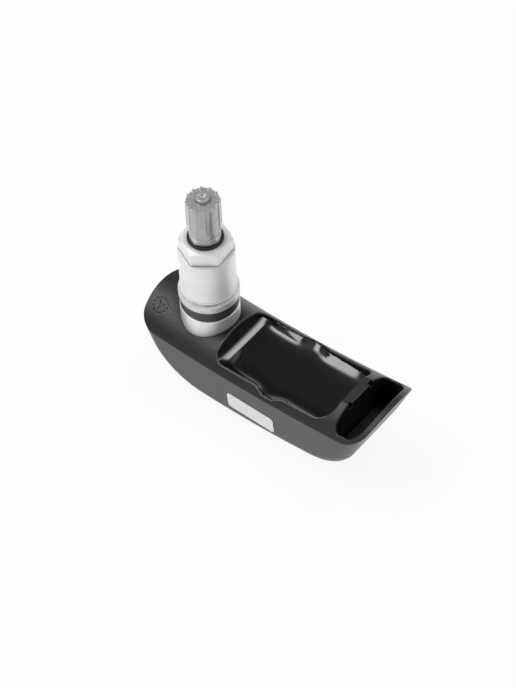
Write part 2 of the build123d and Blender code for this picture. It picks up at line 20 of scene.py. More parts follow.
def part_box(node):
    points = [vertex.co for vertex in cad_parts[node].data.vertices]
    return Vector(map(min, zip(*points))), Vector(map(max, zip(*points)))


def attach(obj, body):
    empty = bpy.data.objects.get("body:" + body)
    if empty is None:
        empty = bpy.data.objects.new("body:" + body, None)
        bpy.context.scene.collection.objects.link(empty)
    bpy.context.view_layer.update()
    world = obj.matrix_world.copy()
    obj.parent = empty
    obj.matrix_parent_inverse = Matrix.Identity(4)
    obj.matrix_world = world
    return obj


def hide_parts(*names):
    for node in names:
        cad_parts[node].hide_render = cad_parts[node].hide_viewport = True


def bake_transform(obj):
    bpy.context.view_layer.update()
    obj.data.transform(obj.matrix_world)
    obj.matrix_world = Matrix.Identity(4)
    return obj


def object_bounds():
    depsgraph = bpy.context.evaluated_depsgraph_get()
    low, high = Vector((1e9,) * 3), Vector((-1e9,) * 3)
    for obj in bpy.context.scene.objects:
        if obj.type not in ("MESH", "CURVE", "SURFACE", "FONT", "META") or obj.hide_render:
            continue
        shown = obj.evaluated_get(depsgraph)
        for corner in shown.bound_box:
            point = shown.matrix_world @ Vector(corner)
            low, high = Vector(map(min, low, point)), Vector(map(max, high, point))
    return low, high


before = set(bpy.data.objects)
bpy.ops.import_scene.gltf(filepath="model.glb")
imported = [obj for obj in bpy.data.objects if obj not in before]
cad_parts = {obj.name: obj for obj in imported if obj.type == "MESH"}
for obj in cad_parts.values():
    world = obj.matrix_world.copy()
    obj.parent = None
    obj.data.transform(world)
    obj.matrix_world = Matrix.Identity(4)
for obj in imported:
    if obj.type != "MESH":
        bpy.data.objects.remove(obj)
cad_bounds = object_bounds()

bl_info = {
    "name": "Tyre pressure sensor",
    "version": (1, 0, 0),
    "blender": (4, 5, 0),
    "location": "3D View > Sidebar > Sensor",
    "description": "Builds the looks of a clamp-in tyre pressure sensor round its packed model",
    "category": "Object",
}

MM = 0.001
SMALLEST = 0.0001 * MM
SHARP_EDGE = radians(40)
TURNED_COLUMNS = 96


def linear(hex_colour):
    """An sRGB hex value as a linear colour with full opacity."""
    channels = [int(hex_colour[i:i + 2], 16) / 255 for i in (0, 2, 4)]
    return [c / 12.92 if c <= 0.04045 else ((c + 0.055) / 1.055) ** 2.4 for c in channels] + [1.0]


def shade(tone, factor):
    """A colour made darker or lighter by a factor."""
    return [min(1.0, channel * factor) for channel in tone[:3]] + [1.0]


def length(name, millimetres, description):
    """A length that a user can change, with its default given in millimetres."""
    return FloatProperty(
        name=name,
        description=description,
        default=millimetres * MM,
        unit="LENGTH",
        subtype="DISTANCE",
        precision=5,
    )


def angle(name, degrees, description):
    """An angle that a user can change, with its default given in degrees."""
    return FloatProperty(
        name=name,
        description=description,
        default=radians(degrees),
        unit="ROTATION",
        subtype="ANGLE",
    )


def colour(name, hex_colour, description):
    """A colour that a user can change, with its default given as an sRGB hex value."""
    return FloatVectorProperty(
        name=name,
        description=description,
        default=linear(hex_colour),
        size=4,
        min=0.0,
        max=1.0,
        subtype="COLOR",
    )


class SensorHousingSettings(PropertyGroup):
    """Moulded housing, its marks, its resin and its label."""

    plastic_dark: colour("Plastic, dark", "141515", "Darker patches of the black moulding")
    plastic_light: colour("Plastic, light", "1d1e1f", "Lighter patches of the black moulding")
    resin: colour("Resin", "060607", "Potting resin in the window")
    label_foil: colour("Label foil", "e9eaea", "Bare foil plate on the near side wall")
    grain: length("Grain", 0.45, "Width of the moulding's eroded grain, drawn coarse enough to show")
    meniscus_rise: length("Resin rise", 1.3, "How far the resin climbs the long walls of the window")
    meniscus_reach: length("Resin reach", 0.96, "How far from a long wall the climb has mostly faded")
    bead_offset: length("Bead offset", 0.45, "Distance of the fine bead round the window from its wall")
    bead_width: length("Bead width", 0.36, "Width of the fine bead round the window")
    bead_height: length("Bead height", 0.18, "Height of the fine bead round the window")
    bank_width: length("Resin bank", 2.8, "Width of the resin's bank along the wall next to the valve")
    bank_foot: angle("Bank foot", 16, "Slope at the foot of the bank")
    bank_top: angle("Bank top", 36, "Slope at the top of the bank")
    ragged_height: length("Ragged height", 0.12, "How far the resin's edge wanders up and down its wall")
    ragged_width: length("Ragged width", 0.8, "Width of the waves in the resin's edge")
    dial_place: FloatVectorProperty(
        name="Dial place",
        description="Middle of the moulded date dial, seen from above",
        default=(-13.0 * MM, -6.7 * MM),
        size=2,
        unit="LENGTH",
    )
    dial_radius: length("Dial radius", 2.2, "Radius of the moulded date dial")
    dial_dots: IntProperty(name="Dial dots", description="Dots round the dial", default=12, min=3)
    dial_strokes: IntProperty(name="Dial strokes", description="Strokes in the dial", default=3, min=1)
    dial_turn: angle("Dial turn", 20, "Angle of the first stroke")
    dot_radius: length("Dot radius", 0.26, "Radius of a dot of the dial")
    mark_height: length("Mark height", 0.06, "How far moulded marks stand out")


class SensorValveSettings(PropertyGroup):
    """Valve stem, nut, washer and seals."""

    stem_metal: colour("Stem metal", "e4e4e4", "Turned and nickelled stem")
    nut_metal: colour("Nut metal", "ececec", "Satin union nut")
    washer_metal: colour("Washer metal", "dcdcdc", "Blasted washer")
    rubber: colour("Rubber", "2e2e2e", "Seal, mouth ring and gaskets")
    barrel_pitch: length("Barrel pitch", 1.0, "Pitch of the nut's thread on the barrel")
    tip_pitch: length("Tip pitch", 0.794, "Pitch of the cap's thread on the tip")
    shank_radius: length("Shank radius", 5.0, "Radius of the shank sunk in the housing")
    collar_height: length("Collar height", 9.0, "Height of the collar")
    shoulder_radius: length("Shoulder radius", 4.55, "Radius of the shoulder under the cap")
    tip_radius: length("Tip radius", 3.85, "Outer radius of the cap's thread")
    bore_radius: length("Bore radius", 2.0, "Radius of the air bore")
    core_bore_radius: length("Core bore radius", 2.6, "Radius of the bore that takes the valve core")
    core_bore_depth: length("Core bore depth", 4.8, "Depth of the core's thread")
    core_cone_length: length("Core cone", 2.0, "Length of the cone that the core's ring seals on")
    screw_hole_radius: length("Screw hole", 3.05, "Radius of the hole for the hollow screw")
    screw_hole_depth: length("Screw hole depth", 6.9, "Depth of the hole for the hollow screw")
    cap_gap: length("Cap gap", 0.2, "Gap between the shoulder and the cap")
    thread_chamfer: length("Thread chamfer", 0.5, "Chamfer at the end of a thread")
    edge_round: length("Edge round", 0.12, "Rounding of the turned edges")
    ring_proud: length("Ring proud", 0.85, "How far the mouth ring stands out of the nut's end")
    shoulder_groove: length("Shoulder groove", 0.16, "Depth of the fine rings on the shoulder")
    shoulder_rings: IntProperty(name="Shoulder rings", description="Rings on the shoulder", default=4, min=1)
    spring_wire: length("Spring wire", 0.13, "Radius of the core spring's wire")
    spring_turns: IntProperty(name="Spring turns", description="Turns of the core's spring", default=7, min=1)


class SensorCapSettings(PropertyGroup):
    """Ribbed cap."""

    plastic: colour("Cap plastic", "b0b1b1", "Grey lacquer of the cap")
    rib_count: IntProperty(name="Ribs", description="Ribs round the cap", default=12, min=3)
    rib_turn: angle("Rib turn", 14, "Angle of the first rib")
    rib_width: length("Rib width", 0.5, "Width of a rib at half its height")
    rib_height: length("Rib height", 0.26, "How far a rib stands out from the wall")
    rib_radius: length("Rib radius", 4.97, "Radius over the ribs")
    edge_round: length("Edge round", 0.1, "Rounding of the cap's edges")
    skirt_radius: length("Skirt radius", 4.65, "Radius of the plain skirt")
    skirt_height: length("Skirt height", 1.9, "Height of the plain skirt")
    hole_radius: length("Hole radius", 3.95, "Radius of the hole for the stem's tip")
    crown: length("Crown", 1.7, "Thickness over the hole")
    nub_radius: length("Nub radius", 1.9, "Radius of the nub")
    nub_height: length("Nub height", 1.3, "Height of the nub")
    dimple_radius: length("Dimple radius", 1.25, "Radius of the dimple in the nub")
    dimple_depth: length("Dimple depth", 0.5, "Depth of the dimple in the nub")
    knob_height: length("Knob height", 0.42, "Height of the knob at the end of each rib")
    knob_length: length("Knob length", 1.1, "Length of a knob along the radius")
    knob_width: length("Knob width", 0.8, "Width of a knob at half its height")


class SensorStageSettings(PropertyGroup):
    """Floor, light and camera."""

    azimuth: angle("Azimuth", 40.88, "Camera round the valve axis")
    elevation: angle("Elevation", 50.9, "Camera above the horizon")
    roll: angle("Roll", 2.788, "Camera about its own line of sight")
    distance: length("Distance", 714.3, "Camera to the point it looks at")
    aim: FloatVectorProperty(
        name="Aim",
        description="Point that the camera looks at",
        default=(0.016733, 0.000737, -0.012508),
        subtype="XYZ",
        unit="LENGTH",
    )
    focal_length: FloatProperty(
        name="Focal length",
        description="Lens in millimetres on a 36 mm sensor",
        default=130.81,
        unit="CAMERA",
    )
    floor: colour("Floor", "f6f6f6", "Plain pale floor")
    floor_glow: FloatProperty(
        name="Floor glow",
        description="Brightness of the floor in reflections, white is 1",
        default=1.35,
    )
    shadow_share: FloatProperty(
        name="Shadow share",
        description="Share of the floor's brightness that a shadow can take",
        default=0.08,
        subtype="FACTOR",
    )


# Meshes


def rounded(corners, closed=False, steps=5):
    """A profile of (radius, height, rounding) corners as points, with each corner turned into an arc."""
    points = []
    for i, (r, z, rounding) in enumerate(corners):
        here = Vector((r, z))
        if rounding == 0 or (not closed and i in (0, len(corners) - 1)):
            points.append(here)
            continue
        before = (Vector(corners[i - 1][:2]) - here).normalized()
        after = (Vector(corners[(i + 1) % len(corners)][:2]) - here).normalized()
        half = before.angle(after) / 2
        centre = here + (before + after).normalized() * rounding / sin(half)
        start = (here + before * rounding / tan(half) - centre).normalized()
        end = (here + after * rounding / tan(half) - centre).normalized()
        points += [centre + start.slerp(end, k / steps) * rounding for k in range(steps + 1)]
    return points


def turned_rows(profile):
    """Rows of points of a turned form: one circle for each point of its profile."""
    angles = [tau * k / TURNED_COLUMNS for k in range(TURNED_COLUMNS + 1)]
    return [[(r * cos(a), r * sin(a), z) for a in angles] for r, z in profile]


def thread_rows(radius, low, high, pitch):
    """Rows of points that follow a screw thread, which runs out at both ends."""
    depth = 0.54 * pitch
    # The form of one pitch: share of the pitch, share of the depth.
    form = ((0.0, 0.0), (0.125, 0.0), (0.5, 1.0), (0.625, 1.0))
    rows = []
    for turn in range(int((high - low) / pitch) + 3):
        for share, sunk in form:
            row = []
            for k in range(TURNED_COLUMNS + 1):
                round_share = k / TURNED_COLUMNS
                z = low + pitch * (turn - 1 + share + round_share)
                z = min(max(z, low), high)
                fade = min(1.0, (z - low) / pitch, (high - z) / pitch)
                r = radius - depth * sunk * fade
                row.append((r * cos(tau * round_share), r * sin(tau * round_share), z))
            rows.append(row)
    return rows


def skin(bm, rows, closed=True):
    """Joins each row of points to the next by a band of faces."""
    verts = [[bm.verts.new(p) for p in row] for row in rows]
    following = verts[1:] + verts[:1] if closed else verts[1:]
    for low, high in zip(verts, following):
        for i in range(len(low) - 1):
            bm.faces.new((low[i], low[i + 1], high[i + 1], high[i]))


def add_piece(name, bm, body, material, replaced=()):
    """Makes a piece from a mesh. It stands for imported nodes, and rides on a body if one is given."""
    bmesh.ops.remove_doubles(bm, verts=bm.verts, dist=SMALLEST)
    bmesh.ops.recalc_face_normals(bm, faces=bm.faces)
    mesh = bpy.data.meshes.new(name)
    bm.to_mesh(mesh)
    bm.free()
    mesh.shade_smooth()
    mesh.set_sharp_from_angle(angle=SHARP_EDGE)
    mesh.materials.append(material)
    obj = bpy.data.objects.new(name, mesh)
    bpy.context.scene.collection.objects.link(obj)
    if body:
        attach(obj, body)
    if replaced:
        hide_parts(*replaced)
    return obj


def dress(material, *nodes):
    """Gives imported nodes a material."""
    for node in nodes:
        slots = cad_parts[node].data.materials
        slots.clear()
        slots.append(material)


# Materials


def add_node(tree, kind, inputs=None, **settings):
    """Adds a node to a tree: settings are its own properties, inputs are values or sockets to link."""
    node = tree.nodes.new(kind)
    for name, value in settings.items():
        setattr(node, name, value)
    for name, value in (inputs or {}).items():
        if isinstance(value, NodeSocket):
            tree.links.new(value, node.inputs[name])
        else:
            node.inputs[name].default_value = value
    return node


def start_material(name):
    """An empty material: its tree, and coordinates that stay with the piece."""
    material = bpy.data.materials.new(name)
    material.use_nodes = True
    tree = material.node_tree
    tree.nodes.clear()
    return material, tree, add_node(tree, "ShaderNodeTexCoord").outputs["Object"]


def end_material(tree, inputs):
    """Closes a material with its shader."""
    shader = add_node(tree, "ShaderNodeBsdfPrincipled", inputs)
    add_node(tree, "ShaderNodeOutputMaterial", {"Surface": shader.outputs["BSDF"]})


def spun_place(tree, place):
    """Coordinates that run with the lathe: distance from the axis, and height."""
    split = add_node(tree, "ShaderNodeSeparateXYZ", {"Vector": place})
    across = add_node(tree, "ShaderNodeCombineXYZ", {"X": split.outputs["X"], "Y": split.outputs["Y"]})
    radius = add_node(tree, "ShaderNodeVectorMath", {0: across.outputs["Vector"]}, operation="LENGTH")
    spun = add_node(tree, "ShaderNodeCombineXYZ", {"X": radius.outputs["Value"], "Z": split.outputs["Z"]})
    return spun.outputs["Vector"]


def surface(
    name,
    colours,
    patch,
    grain,
    relief,
    roughness,
    edge,
    spun=False,
    painted_shade_reach=0,
    edge_highlight=1,
    gloss=0.5,
    constants=None,
):
    """A material with patches of two colours, a grain in relief, uneven roughness and softened edges.

    patch, grain, relief and edge are lengths; roughness is its lowest and highest value. A spun grain
    runs round the valve axis, as a lathe leaves it. painted_shade_reach is how far from a corner a painted
    shade darkens the colour and dulls the gloss, which is the specular level elsewhere. edge_highlight is how
    much brighter a painted highlight makes an edge.
    constants are the shader's values that are the same all over.
    """
    material, tree, place = start_material(name)
    if spun:
        place = spun_place(tree, place)
    patches = add_node(tree, "ShaderNodeTexNoise", {"Vector": place, "Scale": 1 / patch, "Detail": 3.0})
    grains = add_node(tree, "ShaderNodeTexNoise", {"Vector": place, "Scale": 1 / grain, "Detail": 2.0})
    share = add_node(
        tree, "ShaderNodeMapRange", {"Value": patches.outputs["Fac"], "From Min": 0.3, "From Max": 0.7}
    )
    tint = add_node(
        tree,
        "ShaderNodeMix",
        {0: share.outputs["Result"], 6: colours[0], 7: colours[1]},
        data_type="RGBA",
    )
    sheen = add_node(
        tree,
        "ShaderNodeMapRange",
        {"Value": grains.outputs["Fac"], "To Min": roughness[0], "To Max": roughness[1]},
    )
    soft_edge = add_node(tree, "ShaderNodeBevel", {"Radius": edge}, samples=6)
    # Where the softened normal turns away from the face's own, an edge is painted lighter: a painted
    # highlight along rounded edges.
    if edge_highlight != 1:
        facing = add_node(tree, "ShaderNodeNewGeometry").outputs["Normal"]
        turned = add_node(
            tree, "ShaderNodeVectorMath", {0: soft_edge.outputs["Normal"], 1: facing}, operation="DOT_PRODUCT"
        )
        edge_lit = add_node(
            tree, "ShaderNodeMapRange", {"Value": turned.outputs["Value"], "From Min": 1.0, "From Max": 0.8}
        )
        tint = add_node(
            tree,
            "ShaderNodeMix",
            {0: edge_lit.outputs["Result"], 6: tint.outputs[2], 7: shade(colours[1], edge_highlight)},
            data_type="RGBA",
        )
    # Corners that are little open are painted darker and lose their gloss: a painted shade where shade falls
    # in them.
    if painted_shade_reach:
        corners = add_node(tree, "ShaderNodeAmbientOcclusion", {"Distance": painted_shade_reach}, samples=8)
        unshaded_share = add_node(
            tree,
            "ShaderNodeMapRange",
            {"Value": corners.outputs["AO"], "From Min": 0.3, "From Max": 0.95},
        )
        tint = add_node(
            tree,
            "ShaderNodeMix",
            {0: unshaded_share.outputs["Result"], 6: shade(colours[0], 0.3), 7: tint.outputs[2]},
            data_type="RGBA",
        )
        gloss = add_node(
            tree,
            "ShaderNodeMapRange",
            {"Value": unshaded_share.outputs["Result"], "To Min": 0.1 * gloss, "To Max": gloss},
        ).outputs["Result"]
    bump = add_node(
        tree,
        "ShaderNodeBump",
        {"Height": grains.outputs["Fac"], "Distance": relief, "Normal": soft_edge.outputs["Normal"]},
    )
    inputs = {
        "Base Color": tint.outputs[2],
        "Roughness": sheen.outputs["Result"],
        "Normal": bump.outputs["Normal"],
        "Specular IOR Level": gloss,
    }
    end_material(tree, inputs | (constants or {}))
    return material


def moulded_nylon(settings):
    """Glass-filled nylon, moulded in a spark-eroded tool: satin black with fine pits that catch the light."""
    return surface(
        "moulded_black_nylon",
        (settings.plastic_dark, settings.plastic_light),
        patch=4 * MM,
        grain=settings.grain,
        relief=0.06 * MM,
        roughness=(0.3, 0.52),
        edge=0.3 * MM,
        # Painted shade in the pocket and the window, and painted highlights along their rims.
        painted_shade_reach=5 * MM,
        edge_highlight=5,
        gloss=0.48,
    )


def dark_mark_nylon(settings):
    """The same nylon on the date dial's raised marks, painted darker than the skin: a painted shade for the
    shade in the real dial's hollow marks.
    """
    return surface(
        "black_nylon_painted_dark_marks",
        (shade(settings.plastic_dark, 0.25), shade(settings.plastic_dark, 0.4)),
        patch=1 * MM,
        grain=settings.grain,
        relief=0.03 * MM,
        roughness=(0.6, 0.75),
        edge=0.05 * MM,
    )


def highlight_bead_nylon(settings):
    """The same nylon on a fine bead round the window, painted pale: a painted highlight line along the
    window's edge.
    """
    return surface(
        "black_nylon_painted_highlight",
        (shade(settings.plastic_light, 5), shade(settings.plastic_light, 12)),
        patch=1.2 * MM,
        grain=0.3 * MM,
        relief=0.02 * MM,
        roughness=(0.25, 0.4),
        edge=0.03 * MM,
    )


def cast_resin(settings):
    """Polyurethane potting, poured and cured in place: a black mirror with very slow waves."""
    return surface(
        "cast_black_resin",
        (settings.resin, shade(settings.resin, 1.5)),
        patch=8 * MM,
        grain=6 * MM,
        relief=0.01 * MM,
        roughness=(0.1, 0.16),
        edge=0.02 * MM,
        constants={"Coat Weight": 0.3, "Coat Roughness": 0.02},
    )


def label_foil(settings):
    """Matt silver polyester foil, rolled: pale, with a fine even tooth and a soft metal gleam."""
    return surface(
        "matt_silver_foil",
        (shade(settings.label_foil, 0.94), settings.label_foil),
        patch=2 * MM,
        grain=0.4 * MM,
        relief=0.006 * MM,
        roughness=(0.34, 0.46),
        edge=0.05 * MM,
        constants={"Metallic": 0.15},
    )


def turned_nickel(settings):
    """Nickelled brass, turned and then blasted: pale and matt, with rings drawn at 0.3 mm to show."""
    return surface(
        "blasted_nickelled_brass",
        (shade(settings.stem_metal, 0.9), settings.stem_metal),
        patch=3 * MM,
        grain=0.3 * MM,
        relief=0.004 * MM,
        roughness=(0.36, 0.48),
        edge=0.1 * MM,
        spun=True,
        constants={"Metallic": 0.7},
    )


def bright_nickel_painted_dark(settings):
    """Nickelled brass, turned and left bright: the shoulder mirrors the cap and the nut in thin rings, and
    its colour is painted darker as a painted reflection of the black mouth ring.
    """
    return surface(
        "bright_nickelled_brass_painted_dark",
        # Painted darker than the collar: a painted reflection of the black mouth ring, with painted shade in
        # the grooves.
        (shade(settings.stem_metal, 0.5), shade(settings.stem_metal, 0.75)),
        patch=1 * MM,
        grain=0.2 * MM,
        relief=0.003 * MM,
        roughness=(0.28, 0.38),
        edge=0.08 * MM,
        spun=True,
        painted_shade_reach=0.4 * MM,
        constants={"Metallic": 0.9},
    )


def satin_aluminium(settings):
    """Anodised aluminium, turned and etched: pale satin with faint rings, drawn at 0.4 mm to show."""
    return surface(
        "satin_anodised_aluminium",
        (shade(settings.nut_metal, 0.95), settings.nut_metal),
        patch=5 * MM,
        grain=0.4 * MM,
        relief=0.002 * MM,
        roughness=(0.5, 0.6),
        edge=0.16 * MM,
        spun=True,
        # Painted shade under the hexagon and round the nut's mouth.
        painted_shade_reach=0.6 * MM,
        constants={"Metallic": 0.5},
    )


def blasted_steel(settings):
    """Stainless steel, blasted: mid grey and grainy, without a mirror gleam."""
    return surface(
        "blasted_stainless_steel",
        (shade(settings.washer_metal, 0.72), settings.washer_metal),
        patch=0.8 * MM,
        grain=0.35 * MM,
        relief=0.025 * MM,
        roughness=(0.45, 0.6),
        edge=0.12 * MM,
        constants={"Metallic": 0.75},
    )


def moulded_rubber(name, tone):
    """Black rubber, pressed in a polished mould: dark and matt, with a faint grey bloom."""
    return surface(
        name,
        (shade(tone, 0.8), tone),
        patch=1.5 * MM,
        grain=0.3 * MM,
        relief=0.008 * MM,
        roughness=(0.4, 0.55),
        edge=0.1 * MM,
    )


def grey_nylon(settings):
    """Nylon, moulded and lacquered grey: a satin gleam, painted shade beside the ribs and round the nub, and
    painted highlights along the edges.
    """
    return surface(
        "lacquered_grey_nylon",
        (shade(settings.plastic, 0.84), settings.plastic),
        patch=2.5 * MM,
        grain=0.3 * MM,
        relief=0.006 * MM,
        roughness=(0.16, 0.26),
        edge=0.22 * MM,
        # Painted shade beside the ribs and round the nub, and painted highlights along the edges.
        painted_shade_reach=1.8 * MM,
        edge_highlight=2.3,
        constants={"Metallic": 0.26},
    )


def plain_metal(name, hex_colour, roughness):
    """Small stamped or turned metal parts inside the sensor: an even plated gleam."""
    tone = linear(hex_colour)
    return surface(
        name,
        (shade(tone, 0.85), tone),
        patch=1 * MM,
        grain=0.15 * MM,
        relief=0.002 * MM,
        roughness=(roughness, roughness + 0.12),
        edge=0.04 * MM,
        constants={"Metallic": 1.0},
    )


def plain_body(name, hex_colour, roughness):
    """Small moulded or pressed parts inside the sensor: an even dull skin."""
    tone = linear(hex_colour)
    return surface(
        name,
        (shade(tone, 0.8), tone),
        patch=1 * MM,
        grain=0.2 * MM,
        relief=0.004 * MM,
        roughness=(roughness, roughness + 0.12),
        edge=0.04 * MM,
    )


def pale_paper(settings):
    """Matt white paper, rolled out: white to the eye and in reflections, and it keeps a soft shadow."""
    material, tree, _ = start_material("pale_studio_floor")
    rays = add_node(tree, "ShaderNodeLightPath")
    mirrored = add_node(
        tree,
        "ShaderNodeMath",
        {0: rays.outputs["Is Glossy Ray"], 1: rays.outputs["Is Transmission Ray"]},
        operation="MAXIMUM",
    )
    seen = add_node(
        tree,
        "ShaderNodeMath",
        {0: rays.outputs["Is Camera Ray"], 1: mirrored.outputs["Value"]},
        operation="MAXIMUM",
    )
    glow_share = add_node(
        tree,
        "ShaderNodeMath",
        {0: seen.outputs["Value"], 1: 1 - settings.shadow_share},
        operation="MULTIPLY",
    )
    paper = add_node(tree, "ShaderNodeBsdfDiffuse", {"Color": settings.floor})
    strength = add_node(
        tree,
        "ShaderNodeMapRange",
        {"Value": mirrored.outputs["Value"], "To Min": 1.0, "To Max": settings.floor_glow},
    )
    glow = add_node(
        tree, "ShaderNodeEmission", {"Color": (1, 1, 1, 1), "Strength": strength.outputs["Result"]}
    )
    mixed = add_node(
        tree,
        "ShaderNodeMixShader",
        {0: glow_share.outputs["Value"], 1: paper.outputs["BSDF"], 2: glow.outputs["Emission"]},
    )
    # Seen from below, the floor is clear.
    under = add_node(tree, "ShaderNodeNewGeometry").outputs["Backfacing"]
    clear = add_node(tree, "ShaderNodeBsdfTransparent")
    sided = add_node(
        tree, "ShaderNodeMixShader", {0: under, 1: mixed.outputs["Shader"], 2: clear.outputs["BSDF"]}
    )
    add_node(tree, "ShaderNodeOutputMaterial", {"Surface": sided.outputs["Shader"]})
    return material


# Marks that lie on the housing's saddle


def around(count):
    """Angles of a number of even steps round a circle."""
    return [tau * k / count for k in range(count)]


def saddle():
    """Finds the housing's upper surface under any place seen from above."""
    tree = BVHTree.FromObject(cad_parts["housing"], bpy.context.evaluated_depsgraph_get())
    sky = cad_bounds[1].z

    def drop(point, lift):
        spot = tree.ray_cast(Vector((point[0], point[1], sky)), Vector((0, 0, -1)))[0]
        if spot is None:
            raise RuntimeError("a mark lies beside the housing")
        return spot + Vector((0, 0, lift))

    return drop


def drape_pad(bm, drop, outline, height):
    """A raised pad that follows the saddle, with its foot sunk a little."""
    foot = [bm.verts.new(drop(p, -height / 2)) for p in outline]
    top = [bm.verts.new(drop(p, height)) for p in outline]
    for i in range(len(outline)):
        bm.faces.new((foot[i - 1], foot[i], top[i], top[i - 1]))
    bm.faces.new(top)
    bm.faces.new(foot)


# Operators


class SENSOR_OT_housing(Operator):
    """Finish the moulded housing and add its moulded marks"""

    bl_idname = "sensor.housing"
    bl_label = "Housing"

    def execute(self, context):
        settings = context.scene.sensor_housing
        dress(moulded_nylon(settings), "housing")
        dress(label_foil(settings), "side_label")
        bm = bmesh.new()
        drop = saddle()
        centre = Vector(settings.dial_place)
        radius = settings.dial_radius
        height = settings.mark_height
        dot_corners = 8
        dot = [Vector((cos(a), sin(a))) * settings.dot_radius for a in around(dot_corners)]
        for a in around(settings.dial_dots):
            spot = centre + Vector((cos(a), sin(a))) * radius
            drape_pad(bm, drop, [spot + p for p in dot], height)
        near = 0.15 * radius
        far = 0.62 * radius
        half = 0.07 * radius
        stroke = ((near, -half), (far, -half), (far, half), (near, half))
        for a in around(settings.dial_strokes):
            turn = Matrix.Rotation(a + settings.dial_turn, 2)
            drape_pad(bm, drop, [centre + turn @ Vector(p) for p in stroke], height)
        add_piece("date_dial", bm, "sensor", dark_mark_nylon(settings))
        return {"FINISHED"}


